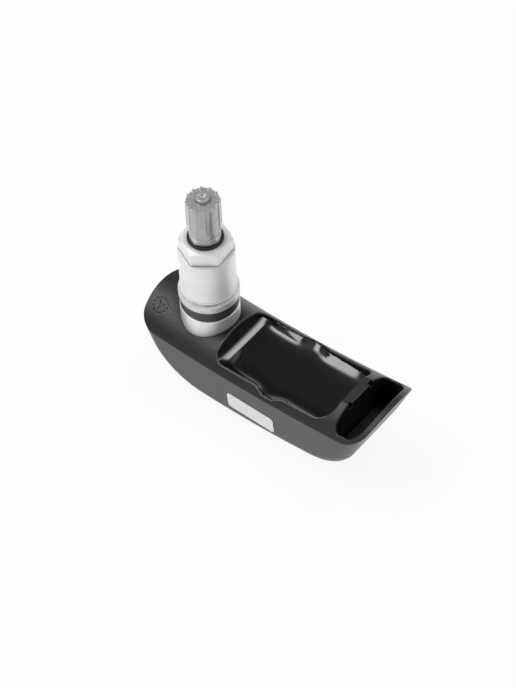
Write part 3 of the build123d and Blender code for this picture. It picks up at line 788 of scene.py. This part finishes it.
class SENSOR_OT_resin(Operator):
    """Pour the potting resin, which climbs the walls of its window"""

    bl_idname = "sensor.resin"
    bl_label = "Potting resin"

    def execute(self, context):
        settings = context.scene.sensor_housing
        bm = bmesh.new()
        bm.from_mesh(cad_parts["potting_resin"].data)
        bmesh.ops.remove_doubles(bm, verts=bm.verts, dist=SMALLEST)
        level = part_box("potting_resin")[1].z
        rim = self.open_top(bm, level)
        outline = [v.co.xy for v in rim]
        count = len(outline)
        along = [outline[(i + 1) % count] - outline[i - 1] for i in range(count)]
        inward = [a.orthogonal().normalized() for a in along]
        drop = saddle()
        height_at = self.climb(outline, along, inward, level, drop, settings)
        self.pour(bm, rim, inward, height_at, settings)
        add_piece("resin_pour", bm, "sensor", cast_resin(settings), ["potting_resin"])
        bm = bmesh.new()
        skin(bm, self.bead_rows(outline, inward, drop, settings))
        add_piece("window_bead", bm, "sensor", highlight_bead_nylon(settings))
        return {"FINISHED"}

    def open_top(self, bm, level):
        """Takes the flat top off the resin and returns its edge, anticlockwise and cut into short steps."""
        step = 0.2 * MM

        def top_and_edge():
            top = [f for f in bm.faces if all(abs(v.co.z - level) < SMALLEST for v in f.verts)]
            within = set(top)
            return top, [e for f in top for e in f.edges if sum(g in within for g in e.link_faces) == 1]

        for e in top_and_edge()[1]:
            cuts = int(e.calc_length() / step)
            if cuts:
                bmesh.ops.subdivide_edges(bm, edges=[e], cuts=cuts)
        top, edge = top_and_edge()
        here = edge[0].verts[0]
        left_over = set(edge)
        rim = []
        while left_over:
            rim.append(here)
            onward = next(e for e in here.link_edges if e in left_over)
            left_over.remove(onward)
            here = onward.other_vert(here)
        bmesh.ops.delete(bm, geom=top, context="FACES")
        if sum(rim[i - 1].co.xy.cross(v.co.xy) for i, v in enumerate(rim)) < 0:
            rim.reverse()
        return rim

    def climb(self, outline, along, inward, level, drop, settings):
        """A function for the height of the resin at a place seen from above.

        The resin lies flat in the middle, climbs the long walls and rises in a bank to the wall next to
        the valve. The bank is an arc, from the slope at its foot to the slope at its top.
        """
        left = min(p.x for p in outline)
        right = max(p.x for p in outline)
        width = settings.bank_width
        reach = settings.meniscus_reach
        behind = 0.3 * MM
        pull = []
        for p, a, n in zip(outline, along, inward):
            room = drop(p - n * behind, 0).z - level
            rise = max(0.0, min(settings.meniscus_rise, 0.9 * room))
            # The climb fades out before both ends of a wall, and on the far wall further from them.
            margin = width * (0.4 if n.y > 0 else 0.9)
            ends = min(p.x - left - margin, right - p.x - 0.5 * margin)
            share = min(1.0, max(0.0, ends / (0.75 * width)))
            # At a long straight wall the pulls of all its steps add up to the rise.
            pull.append(rise * share * a.length / (4 * reach))
        places = np.array(outline)
        pull = np.array(pull)
        low = sin(settings.bank_foot)
        bend = width / (sin(settings.bank_top) - low)
        crease = left + width

        def height_at(p):
            away = np.hypot(places[:, 0] - p.x, places[:, 1] - p.y)
            height = level + float((pull * np.exp(-away / reach)).sum())
            if p.x < crease:
                slope = asin(low + (crease - p.x) / bend)
                height += bend * (cos(settings.bank_foot) - cos(slope))
            return height

        return height_at

    def pour(self, bm, rim, inward, height_at, settings):
        """Closes the resin with a surface of given height, with its finest faces along the walls."""
        rings = 18
        first_inset = 0.07 * MM
        inset_growth = 0.09
        cell = 0.6 * MM
        wall_gap = 0.5 * MM
        crease_half = 0.04 * MM
        outline = [v.co.xy for v in rim]
        count = len(outline)
        walls = KDTree(count)
        for i, p in enumerate(outline):
            walls.insert(p.to_3d(), i)
        walls.balance()
        spots = list(outline)
        for k in range(1, rings + 1):
            inset = first_inset * k * (1 + inset_growth * k)
            ring = [p + n * inset for p, n in zip(outline, inward)]
            spots += [p for p in ring if walls.find(p.to_3d())[2] > 0.95 * inset]
        left = min(p.x for p in outline)
        half = max(p.y for p in outline)
        columns = int((max(p.x for p in outline) - left) / cell)
        crease = left + settings.bank_width
        across = [left + cell * i for i in range(columns)] + [crease - crease_half, crease + crease_half]
        grid = [Vector((x, -half + cell * j)) for x in across for j in range(int(2 * half / cell))]
        spots += [p for p in grid if walls.find(p.to_3d())[2] > wall_gap and abs(p.y) < half - wall_gap]
        loop = [(i, (i + 1) % count) for i in range(count)]
        made = delaunay_2d_cdt([p / MM for p in spots], loop, [list(range(count))], 1, SMALLEST / MM)
        brim = []
        for p, n in zip(outline, inward):
            wander = settings.ragged_height * noise.noise(p.to_3d() / settings.ragged_width)
            # The bank's own edge runs straight along the wall next to the valve.
            brim.append(bm.verts.new((p.x, p.y, height_at(p) + (0.0 if n.x > 0.5 else wander))))
        verts = []
        for spot, origin in zip(made[0], made[3]):
            known = [i for i in origin if i < count]
            place = spot * MM
            verts.append(brim[known[0]] if known else bm.verts.new((*place, height_at(place))))
        for face in made[2]:
            bm.faces.new([verts[i] for i in face])
        for i in range(count):
            bm.faces.new((rim[i - 1], rim[i], brim[i], brim[i - 1]))

    def bead_rows(self, outline, inward, drop, settings):
        """Rows of points of a fine bead that runs on the saddle round the window, but not over the bar."""
        # The bead's section: share of its width, share of its height.
        section = ((-0.5, -0.5), (-0.25, 1.0), (0.25, 1.0), (0.5, -0.5))
        rows = []
        for share, lift in section:
            away = settings.bead_offset + share * settings.bead_width
            lifts = [settings.bead_height * (lift if n.x > -0.7 else -0.5) for n in inward]
            row = [drop(p - n * away, lift) for p, n, lift in zip(outline, inward, lifts)]
            rows.append([*row, row[0]])
        return rows


class SENSOR_OT_stem(Operator):
    """Turn the valve stem and cut its two threads"""

    bl_idname = "sensor.stem"
    bl_label = "Valve stem"

    def execute(self, context):
        settings = context.scene.sensor_valve
        low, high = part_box("valve_stem")
        ring_low, ring_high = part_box("mouth_ring")
        collar_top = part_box("rim_seal")[0].z
        collar_low = collar_top - settings.collar_height
        barrel = ring_high.x
        barrel_top = ring_low.z
        shoulder_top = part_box("valve_cap")[0].z - settings.cap_gap
        chamfer = settings.thread_chamfer
        edge = settings.edge_round
        groove = settings.shoulder_groove
        tip = settings.tip_radius
        seat_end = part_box("rim_seal")[1].z
        cone_top = high.z - settings.core_bore_depth
        cone_low = cone_top - settings.core_cone_length
        hole_top = low.z + settings.screw_hole_depth
        barrel_end = barrel_top - chamfer
        tip_start = shoulder_top + chamfer
        tip_end = high.z - chamfer
        foot = [
            (settings.screw_hole_radius, low.z, 0),
            (settings.shank_radius, low.z, edge),
            (settings.shank_radius, collar_low, 0),
            (high.x, collar_low, edge),
            (high.x, collar_top, 2 * edge),
            (barrel, collar_top, 0),
            (barrel, seat_end, 0),
        ]
        shoulder = [
            (barrel, barrel_end, 0),
            (barrel - chamfer, barrel_top, 0),
            (settings.shoulder_radius, barrel_top, 0),
        ]
        # A ring is two grooves high, and so is the land between two rings.
        for k in reversed(range(settings.shoulder_rings)):
            z = shoulder_top - groove * (3 + 4 * k)
            ring = ((0, z - groove), (groove, z - groove / 2), (groove, z + groove / 2), (0, z + groove))
            shoulder += [(settings.shoulder_radius - sunk, height, 0) for sunk, height in ring]
        shoulder += [
            (settings.shoulder_radius, shoulder_top, edge),
            (tip, shoulder_top, 0),
            (tip, tip_start, 0),
        ]
        bore = [
            (tip, tip_end, 0),
            (tip - chamfer, high.z, edge),
            (settings.core_bore_radius, high.z, edge),
            (settings.core_bore_radius, cone_top, 0),
            (settings.bore_radius, cone_low, 0),
            (settings.bore_radius, hole_top, 0),
            (settings.screw_hole_radius, hole_top, 0),
        ]
        rows = turned_rows(rounded(foot))
        rows += thread_rows(barrel, seat_end, barrel_end, settings.barrel_pitch)
        rows += turned_rows(rounded(shoulder))
        rows += thread_rows(tip, tip_start, tip_end, settings.tip_pitch)
        rows += turned_rows(rounded(bore))
        bm = bmesh.new()
        skin(bm, rows)
        stem = add_piece("threaded_stem", bm, "sensor", turned_nickel(settings), ["valve_stem"])
        stem.data.materials.append(bright_nickel_painted_dark(settings))
        for face in stem.data.polygons:
            face.material_index = int(face.center.z > barrel_end)
        return {"FINISHED"}


class SENSOR_OT_clamp(Operator):
    """Finish the rubber seals, the washer and the union nut"""

    bl_idname = "sensor.clamp"
    bl_label = "Seal, washer and nut"

    def execute(self, context):
        settings = context.scene.sensor_valve
        rubber = moulded_rubber("moulded_black_rubber", settings.rubber)
        # The mouth ring's rubber is painted darker than the seal's: a painted shade for the gap in the nut's
        # mouth.
        shaded_rubber = moulded_rubber("black_rubber_painted_shade", shade(settings.rubber, 0.3))
        dress(rubber, "rim_seal", "cap_gasket", "core_ring", "core_poppet", "port_elbow")
        dress(blasted_steel(settings), "flange_washer")
        dress(satin_aluminium(settings), "union_nut")
        low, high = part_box("mouth_ring")
        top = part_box("union_nut")[1].z + settings.ring_proud
        section = [
            (settings.shoulder_radius, low.z, 0),
            (high.x, low.z, 0),
            (high.x, top, settings.edge_round),
            (settings.shoulder_radius, top, settings.edge_round),
        ]
        bm = bmesh.new()
        skin(bm, turned_rows(rounded(section, closed=True)))
        add_piece("lipped_ring", bm, "sensor", shaded_rubber, ["mouth_ring"])
        return {"FINISHED"}


class SENSOR_OT_cap(Operator):
    """Mould the ribbed cap with its knobs and its dimpled nub"""

    bl_idname = "sensor.cap"
    bl_label = "Valve cap"

    def execute(self, context):
        settings = context.scene.sensor_cap
        low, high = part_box("valve_cap")
        top = high.z - settings.nub_height
        ledge = low.z + settings.skirt_height
        outer = settings.rib_radius
        edge = settings.edge_round
        inside = outer - settings.knob_length
        knob_ramp = 0.3 * settings.knob_length
        columns_per_rib = 24
        columns = columns_per_rib * settings.rib_count
        angles = [settings.rib_turn + tau * k / columns for k in range(columns + 1)]
        half_step = pi / settings.rib_count

        def rib(a, width):
            """1 on the middle of a rib, 0 between the ribs."""
            off = (a - settings.rib_turn + half_step) % (2 * half_step) - half_step
            return 1 / (1 + (2 * off * outer / width) ** 4)

        def row(r, z, ribs=1.0, knobs=0.0):
            """One round of points, with shares of the ribs' and the knobs' height."""
            points = []
            for a in angles:
                q = r - ribs * settings.rib_height * (1 - rib(a, settings.rib_width))
                along = max(0.0, min(1.0, (r - inside) / knob_ramp))
                lift = knobs * settings.knob_height * rib(a, settings.knob_width) * along
                points.append((q * cos(a), q * sin(a), z + lift))
            return points

        quarter = [pi / 8 * k for k in range(5)]
        skirt = [
            (settings.hole_radius, low.z, 0),
            (settings.skirt_radius, low.z, edge),
            (settings.skirt_radius, ledge, 0),
        ]
        rows = [row(r, z, 0.0) for r, z in rounded(skirt)]
        rows += [row(outer - edge * (1 - sin(t)), ledge + edge * (1 - cos(t))) for t in quarter]
        rows += [row(outer + edge * (cos(t) - 1), top + edge * (sin(t) - 1), 1.0, sin(t)) for t in quarter]
        knob_rows = 8
        for k in range(1, knob_rows + 1):
            share = k / knob_rows
            rows.append(row(outer - edge + (inside - outer + edge) * share, top, 1 - share, 1.0))
        disc = inside - 0.3 * MM
        draft = 0.05 * MM
        nub = [
            (disc, top, 0),
            (settings.nub_radius, top, edge),
            (settings.nub_radius - draft, high.z, 3 * edge),
            (settings.dimple_radius, high.z, edge),
        ]
        # The dimple is a cap of a sphere.
        sphere = (settings.dimple_radius ** 2 + settings.dimple_depth ** 2) / (2 * settings.dimple_depth)
        centre = high.z - settings.dimple_depth + sphere
        dimple_steps = 7
        for k in reversed(range(dimple_steps)):
            r = settings.dimple_radius * k / dimple_steps
            nub.append((r, centre - (sphere ** 2 - r ** 2) ** 0.5, 0))
        nub += [(0, top - settings.crown, 0), (settings.hole_radius, top - settings.crown, 0)]
        rows += [row(r, z, 0.0) for r, z in rounded(nub)]
        bm = bmesh.new()
        skin(bm, rows)
        add_piece("ribbed_cap", bm, "cap", grey_nylon(settings), ["valve_cap"])
        return {"FINISHED"}


class SENSOR_OT_inner_parts(Operator):
    """Finish the valve core, the hollow screw and the electronics"""

    bl_idname = "sensor.inner_parts"
    bl_label = "Inner parts"

    def execute(self, context):
        self.add_spring(context.scene.sensor_valve)
        dress(plain_metal("turned_brass", "c9a35a", 0.3), "core_body", "core_pin")
        dress(plain_metal("nickelled_steel_screw", "bdbcb8", 0.32), "hollow_screw")
        dress(plain_metal("deep_drawn_cell_steel", "c4c4c2", 0.25), "coin_cell")
        dress(plain_metal("stamped_nickel", "bfb9ad", 0.35), "cell_top_tab", "cell_base_tab", "antenna_strip")
        dress(plain_metal("drawn_crystal_can", "c8c7c0", 0.3), "crystal")
        dress(plain_body("green_board_laminate", "2a5c38", 0.4), "circuit_board")
        dress(plain_body("black_chip_epoxy", "1c1c1d", 0.5), "pressure_chip")
        dress(plain_body("pressed_ferrite", "3a3836", 0.55), "wake_coil")
        return {"FINISHED"}

    def add_spring(self, settings):
        """Winds the core's spring, which stands on the core's lip, as a fixed coil: the real spring gives way
        when the pin is pressed.
        """
        low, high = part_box("core_spring")
        wire = settings.spring_wire
        radius = high.x - wire
        foot = low.z + wire
        rise = high.z - wire - foot
        steps_per_turn = 20
        wire_columns = 8
        steps = steps_per_turn * settings.spring_turns
        rows = []
        # The first and the last row draw in to a point and close the wire's ends.
        for k in range(-1, steps + 2):
            share = min(max(k / steps, 0), 1)
            thick = wire if 0 <= k <= steps else 0.0
            a = tau * settings.spring_turns * share
            row = []
            for i in range(wire_columns + 1):
                b = tau * i / wire_columns
                r = radius + thick * cos(b)
                row.append((r * cos(a), r * sin(a), foot + rise * share + thick * sin(b)))
            rows.append(row)
        bm = bmesh.new()
        skin(bm, rows, closed=False)
        steel = plain_metal("drawn_spring_steel", "8f8f92", 0.3)
        spring = add_piece("coiled_spring", bm, None, steel, ["core_spring"])
        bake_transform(spring)


class SENSOR_OT_stage(Operator):
    """Set the floor, the light and the camera"""

    bl_idname = "sensor.stage"
    bl_label = "Floor, light and camera"

    def execute(self, context):
        settings = context.scene.sensor_stage
        context.scene.view_settings.view_transform = "Standard"
        self.add_floor(settings)
        self.add_sky(context.scene)
        self.add_softbox(
            "key_softbox",
            place=(-0.37, -0.19, 0.775),
            along=(0, 1, 0),
            size=(1.1, 0.32),
            brightness=8.0,
            full=0.28,
        )
        self.add_softbox(
            "rear_softbox",
            place=(0.16, 0.39, 0.7),
            along=(1, 0, 0),
            size=(0.56, 0.34),
            brightness=7.5,
            full=0.1,
        )
        self.add_camera(context.scene, settings)
        return {"FINISHED"}

    def add_floor(self, settings):
        """A wide sheet of pale paper under the object."""
        half = 4.0
        bm = bmesh.new()
        corners = ((-half, -half), (half, -half), (half, half), (-half, half))
        bm.faces.new([bm.verts.new((x, y, cad_bounds[0].z)) for x, y in corners])
        mesh = bpy.data.meshes.new("floor")
        bm.to_mesh(mesh)
        bm.free()
        mesh.materials.append(pale_paper(settings))
        floor = bpy.data.objects.new("floor", mesh)
        bpy.context.scene.collection.objects.link(floor)

    def add_sky(self, scene):
        """Studio walls: white to the eye, and in reflections white low down, darker above, paler overhead."""
        world = bpy.data.worlds.new("studio")
        world.use_nodes = True
        tree = world.node_tree
        tree.nodes.clear()
        direction = add_node(tree, "ShaderNodeTexCoord").outputs["Generated"]
        height = add_node(tree, "ShaderNodeSeparateXYZ", {"Vector": direction}).outputs["Z"]
        ramp = add_node(tree, "ShaderNodeValToRGB", {"Fac": height})
        # Sine of the height above the horizon, brightness.
        levels = (
            (0.0, 1.25),
            (0.1, 1.15),
            (0.3, 0.45),
            (0.58, 0.13),
            (0.755, 0.13),
            (0.82, 0.3),
            (1.0, 0.7),
        )
        stops = ramp.color_ramp.elements
        while len(stops) < len(levels):
            stops.new(1.0)
        for stop, (position, level) in zip(stops, levels):
            stop.position = position
            stop.color = (level, level, level, 1)
        seen = add_node(tree, "ShaderNodeLightPath").outputs["Is Camera Ray"]
        tone = add_node(
            tree, "ShaderNodeMix", {0: seen, 6: ramp.outputs["Color"], 7: (1, 1, 1, 1)}, data_type="RGBA"
        )
        light = add_node(tree, "ShaderNodeBackground", {"Color": tone.outputs[2], "Strength": 1.0})
        add_node(tree, "ShaderNodeOutputWorld", {"Surface": light.outputs["Background"]})
        scene.world = world

    def add_softbox(self, name, place, along, size, brightness, full):
        """A lamp turned to the object, in its middle some times as bright as white, with soft edges.

        full is how far from the middle, as a share of its sides, the lamp keeps that brightness.
        """
        lamp = bpy.data.lights.new(name, "AREA")
        lamp.shape = "RECTANGLE"
        lamp.size, lamp.size_y = size
        lamp.energy = brightness * pi * size[0] * size[1]
        lamp.use_nodes = True
        tree = lamp.node_tree
        tree.nodes.clear()
        spot = add_node(tree, "ShaderNodeNewGeometry").outputs["Parametric"]
        off = add_node(tree, "ShaderNodeVectorMath", {0: spot, 1: (0.5, 0.5, 0.0)}, operation="DISTANCE")
        fade = add_node(
            tree,
            "ShaderNodeMapRange",
            {"Value": off.outputs["Value"], "From Min": 0.5, "From Max": full},
            interpolation_type="SMOOTHSTEP",
        )
        glow = add_node(tree, "ShaderNodeEmission", {"Strength": fade.outputs["Result"]})
        add_node(tree, "ShaderNodeOutputLight", {"Surface": glow.outputs["Emission"]})
        softbox = bpy.data.objects.new(name, lamp)
        back = Vector(place).normalized()
        right = (Vector(along) - Vector(along).dot(back) * back).normalized()
        turn = Matrix((right, back.cross(right), back)).transposed().to_4x4()
        softbox.matrix_world = Matrix.Translation(place) @ turn
        bpy.context.scene.collection.objects.link(softbox)

    def add_camera(self, scene, settings):
        """A long lens at the photograph's viewing angle."""
        az = settings.azimuth
        el = settings.elevation
        back = Vector((sin(az) * cos(el), -cos(az) * cos(el), sin(el)))
        level = Vector((cos(az), sin(az), 0))
        down = level.cross(back)
        right = cos(settings.roll) * level + sin(settings.roll) * down
        up = back.cross(right)
        camera = bpy.data.objects.new("camera", bpy.data.cameras.new("camera"))
        camera.data.lens = settings.focal_length
        camera.data.sensor_width = 36.0
        camera.data.clip_start = 0.01
        place = Vector(settings.aim) + back * settings.distance
        camera.matrix_world = Matrix.Translation(place) @ Matrix((right, up, back)).transposed().to_4x4()
        scene.collection.objects.link(camera)
        scene.camera = camera


BUILDERS = (
    SENSOR_OT_housing,
    SENSOR_OT_resin,
    SENSOR_OT_stem,
    SENSOR_OT_clamp,
    SENSOR_OT_cap,
    SENSOR_OT_inner_parts,
    SENSOR_OT_stage,
)

SETTINGS = {
    "sensor_housing": SensorHousingSettings,
    "sensor_valve": SensorValveSettings,
    "sensor_cap": SensorCapSettings,
    "sensor_stage": SensorStageSettings,
}


class SENSOR_PT_builder(Panel):
    """Sidebar panel with the sensor's settings and builders"""

    bl_idname = "SENSOR_PT_builder"
    bl_label = "Tyre pressure sensor"
    bl_space_type = "VIEW_3D"
    bl_region_type = "UI"
    bl_category = "Sensor"

    def draw(self, context):
        for name in SETTINGS:
            box = self.layout.box()
            group = getattr(context.scene, name)
            for setting in group.bl_rna.properties:
                if not setting.is_readonly and setting.identifier != "name":
                    box.prop(group, setting.identifier)
        for builder in BUILDERS:
            self.layout.operator(builder.bl_idname)


def register():
    """Registers the settings, the builders and the panel."""
    for name, group in SETTINGS.items():
        bpy.utils.register_class(group)
        setattr(bpy.types.Scene, name, PointerProperty(type=group))
    for each in (*BUILDERS, SENSOR_PT_builder):
        bpy.utils.register_class(each)


def unregister():
    """Removes what register added."""
    for each in (SENSOR_PT_builder, *reversed(BUILDERS)):
        bpy.utils.unregister_class(each)
    for name, group in SETTINGS.items():
        delattr(bpy.types.Scene, name)
        bpy.utils.unregister_class(group)


def main():
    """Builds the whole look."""
    register()
    for builder in BUILDERS:
        group, verb = builder.bl_idname.split(".")
        getattr(getattr(bpy.ops, group), verb)()


if __name__ == "__main__":
    main()
